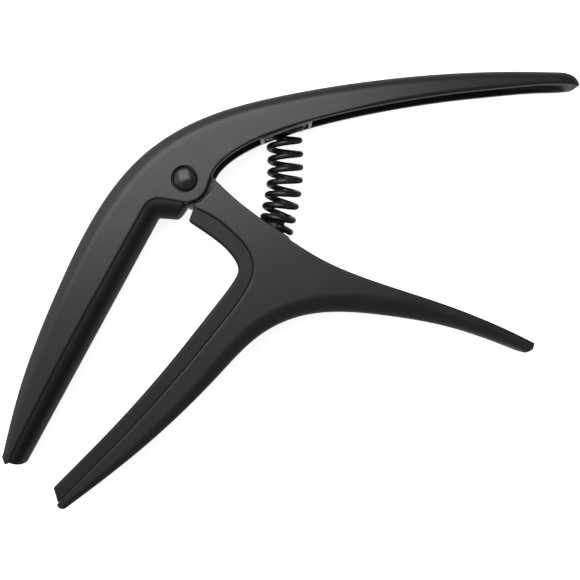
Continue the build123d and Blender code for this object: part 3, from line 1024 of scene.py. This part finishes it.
def make_spring():
    """The compression spring: round wire, its ends cut square with a small bevel."""
    count, around, end_bevel = 520, 20, 0.8
    path = wire_path(count)
    along = np.gradient(path, axis=0)
    along /= np.linalg.norm(along, axis=1)[:, None]
    out = np.cross(along, np.array([0.0, 1.0, 0.0]))
    out /= np.linalg.norm(out, axis=1)[:, None]
    third = np.cross(along, out)
    radius = np.full(count, WIRE_R)
    radius[[0, -1]] = WIRE_R * end_bevel
    turn = np.linspace(0, 2 * math.pi, around, endpoint=False)
    rings = path[:, None] + radius[:, None, None] * (
        np.cos(turn)[None, :, None] * out[:, None] + np.sin(turn)[None, :, None] * third[:, None]
    )
    here = np.arange(around)
    after = np.roll(here, -1)
    faces = [here[::-1].tolist(), ((count - 1) * around + here).tolist()]
    for i in range(count - 1):
        a, b = i * around, (i + 1) * around
        faces += np.stack([a + here, a + after, b + after, b + here], axis=1).tolist()
    spring = mesh_object("main_spring_wire", rings.reshape(-1, 3), faces)
    chart = spring.data.uv_layers.new(name="wire")
    for loop in spring.data.loops:
        ring, place = divmod(loop.vertex_index, around)
        chart.data[loop.index].uv = (place / around, ring / around)
    face_outwards(spring)
    tidy(spring, 50)
    spring.data.materials.append(WIRE)
    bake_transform(spring)
    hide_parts("main_spring")


def make_spring_post():
    """The stud that keeps the spring's foot in place."""
    flange, fillet, bevel, shoulder = 0.25, 0.15, 0.5, (0.2, 0.15)
    profile = [(0, -POST_TAIL), (POST_TAIL_R, -POST_TAIL), (POST_TAIL_R, POST_COLLAR_FOOT)]
    profile += [(POST_COLLAR_R, POST_COLLAR_FOOT), (POST_COLLAR_R, POST_COLLAR - flange)]
    profile += [(POST_COLLAR_R - flange, POST_COLLAR), (POST_R + fillet, POST_COLLAR)]
    profile += [(POST_R, POST_COLLAR + fillet), (POST_R, POST_HEIGHT - bevel)]
    profile += [(POST_R - shoulder[0], POST_HEIGHT - shoulder[1])]
    profile += [(POST_R - bevel, POST_HEIGHT), (0, POST_HEIGHT)]
    post = lathe("spring_post_stud", profile, 72, (*POST_FOOT, MID), POST_AXIS)
    finish_piece(post, "lower", [POST_STEEL], "spring_post", 35)


def make_spring_seat():
    """The cup block in the channel: coated, with a bare machined border and cup edge."""
    left, right = np.array(SEAT_LEFT), np.array(SEAT_RIGHT)
    along = (right - left) / np.linalg.norm(right - left)
    up = np.array([-along[1], along[0]])
    middle = (left + right) / 2

    def at(x, y):
        return middle + along * x + up * y

    half = SEAT_LENGTH / 2
    low = SEAT_FRAME
    wall = WALL + 0.05
    corners = [at(-half, low), at(half, low), at(half, SEAT_HIGH_RIGHT), at(-half, SEAT_HIGH_LEFT)]
    sides = []
    for a, b in zip(corners, [*corners[1:], corners[0]]):
        sides.append(Run(line(a, b), BLOCK_EDGE, BLOCK_EDGE, 0.3))
    block = slab("spring_seat_block", sides, wall, WIDTH - wall, 3)
    border, recess, below = 0.9, 0.55, 1.0
    inner = [at(-half + border, low - below), at(half - border, low - below)]
    inner += [at(half - border, low + recess), at(-half + border, low + recess)]
    hollow = prism("hollow", inner, wall + border, WIDTH - wall - border)
    combine(block, hollow, "DIFFERENCE")
    lip = CUP_R + 0.55, low + 0.15, low + 1.5
    lip_place = at((COIL_HEAD[0] - middle[0]) / along[0], 0.0)
    combine(block, cylinder("collar", *lip, 72, (*lip_place, MID), (*up, 0.0)), "UNION")
    place = 72, (COIL_HEAD[0], 0.0, MID), (0.0, 1.0, 0.0)
    combine(block, cylinder("cup", CUP_R, CUP_MOUTH, CUP_FLOOR, *place), "DIFFERENCE")
    finish_piece(block, "upper", [COATED, BARE], "spring_seat")
    down = Vector((-up[0], -up[1], 0.0))
    least_cosine, frame_height = 0.1, float(at(0, low) @ up) + 0.3
    for face in block.data.polygons:
        height = float(np.array(face.center[:2]) / MM @ up)
        bare = face.normal.dot(down) > least_cosine and height < frame_height
        face.material_index = 1 if bare else 0


# ---------------------------------------- pivot
def head_profile(base, rise):
    """A low domed head that stands on a height and rises by +1 or -1 along the axis."""
    steps = 14
    edge = 0.12
    points = [(HEAD_R - edge, base), (HEAD_R, base + rise * edge)]
    points.append((HEAD_R, base + rise * (HEAD_RIM - edge)))
    for i in range(steps + 1):
        radius = (HEAD_R - edge) * (1 - i / steps)
        crown = HEAD_DOME * (1 - (radius / HEAD_R) ** 2)
        points.append((radius, base + rise * (HEAD_RIM + crown)))
    return points


def make_pivot():
    """The pin with its domed head, and the matching head on the far side."""
    head = head_profile(WIDTH - HEAD_RECESS, 1)
    profile = [(0, HEAD_RECESS), (PIN_R, HEAD_RECESS), (PIN_R, WIDTH - HEAD_RECESS), *head]
    pin = lathe("pivot_pin_body", profile)
    finish_piece(pin, "upper", [BLACK_STEEL], "pivot_pin", 40)
    cap = lathe("pivot_cap_head", [(0, HEAD_RECESS), *head_profile(HEAD_RECESS, -1)])
    finish_piece(cap, "upper", [BLACK_STEEL], "pivot_cap", 40)


def dress_cad_nodes():
    """Materials for the pieces that keep their CAD shape, hidden inside the hub."""
    for node, material in (("hub_bush", BRONZE), ("washer_front", STEEL), ("washer_rear", STEEL)):
        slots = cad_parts[node].data.materials
        slots.clear()
        slots.append(material)


# ---------------------------------------- camera, light and floor
CAMERA = (23.2, -24.5, 300.0)
LENS = 80.4
SENSOR = 36.0
CLIP_START = 0.01
KEY_PLACE = (-27.0, 80.0, 180.0)
KEY_SIZE = (150.0, 162.0)
KEY_TURN = 12  # degrees about +Z
KEY_WATTS = 0.225
ROOM = 0.2  # strength of the room's light from all sides
# Each paler stretch of the room: its direction, the cosines of the angle to it at which it starts
# and is full, and its strength. They are the table, behind the bend and beside it.
GLOWS = [
    ((0, 0, -1), 0.72, 0.95, 0.15),
    ((-0.9, 0.5, 0.9), 0.5, 1.0, 0.9),
    ((-0.6, 0.75, -0.6), 0.3, 0.95, 0.4),
]
BACKDROP = 0.9  # the least that the camera itself sees of the room
FLOOR_HALF = 3000.0
FLOOR_DROP = 0.02  # the table lies this far below the capo


def make_camera():
    """Looks straight down on the capo's side."""
    data = bpy.data.cameras.new("camera")
    data.lens = LENS
    data.sensor_width = SENSOR
    data.clip_start = CLIP_START
    camera = bpy.data.objects.new("camera", data)
    camera.location = [x * MM for x in CAMERA]
    bpy.context.scene.collection.objects.link(camera)
    bpy.context.scene.camera = camera


def make_key():
    """A level soft box above the bend, so that its light fades along both levers."""
    data = bpy.data.lights.new("key", "AREA")
    data.shape = "RECTANGLE"
    data.size, data.size_y = (x * MM for x in KEY_SIZE)
    data.energy = KEY_WATTS
    lamp = bpy.data.objects.new("key", data)
    lamp.location = [x * MM for x in KEY_PLACE]
    lamp.rotation_euler.z = math.radians(KEY_TURN)
    lamp.visible_camera = False
    bpy.context.scene.collection.objects.link(lamp)


def glow(add, direction, towards, low, high, strength):
    """Light from round a direction, between two cosines of the angle to it."""
    links = [(0, direction), (1, Vector(towards).normalized())]
    cosine = add("ShaderNodeVectorMath", links, operation="DOT_PRODUCT").outputs["Value"]
    links = [("Value", cosine), ("From Min", low), ("From Max", high), ("To Max", strength)]
    return add("ShaderNodeMapRange", links, interpolation_type="SMOOTHSTEP").outputs["Result"]


def make_room():
    """A dim room with a few paler stretches, in front of which the camera sees a pale backdrop."""
    world = bpy.data.worlds.new("room")
    world.use_nodes = True
    tree = world.node_tree
    add = adder(tree)
    direction = add("ShaderNodeTexCoord").outputs["Generated"]
    total = ROOM
    for spot in GLOWS:
        total = calculate(add, "ADD", total, glow(add, direction, *spot))
    seen = add("ShaderNodeLightPath").outputs["Is Camera Ray"]
    strength = calculate(add, "MAXIMUM", total, calculate(add, "MULTIPLY", seen, BACKDROP))
    feed(tree, tree.nodes["Background"], [("Color", grey(1.0)), ("Strength", strength)])
    bpy.context.scene.world = world
    bpy.context.scene.view_settings.view_transform = "Standard"


def make_floor():
    """A pale, evenly lit table, which the capo's gloss doesn't mirror."""
    half = FLOOR_HALF
    corners = [(-half, -half, 0), (half, -half, 0), (half, half, 0), (-half, half, 0)]
    floor = mesh_object("floor", corners, [[0, 1, 2, 3]])
    floor.location.z = -FLOOR_DROP * MM
    floor.visible_glossy = False
    material, add, surface = new_material("pale_table")
    surface(
        ("Base Color", tone(add, noise(add, object_place(add), 4.0), grey(0.86), grey(0.89))),
        ("Roughness", 0.7),
        ("Emission Color", grey(1.0)),
        ("Emission Strength", 0.85),
    )
    floor.data.materials.append(material)


make_camera()
make_key()
make_room()
make_floor()
make_upper_lever()
make_fretboard_pad()
make_lower_lever()
make_neck_pad()
make_spring()
make_spring_post()
make_spring_seat()
make_pivot()
dress_cad_nodes()
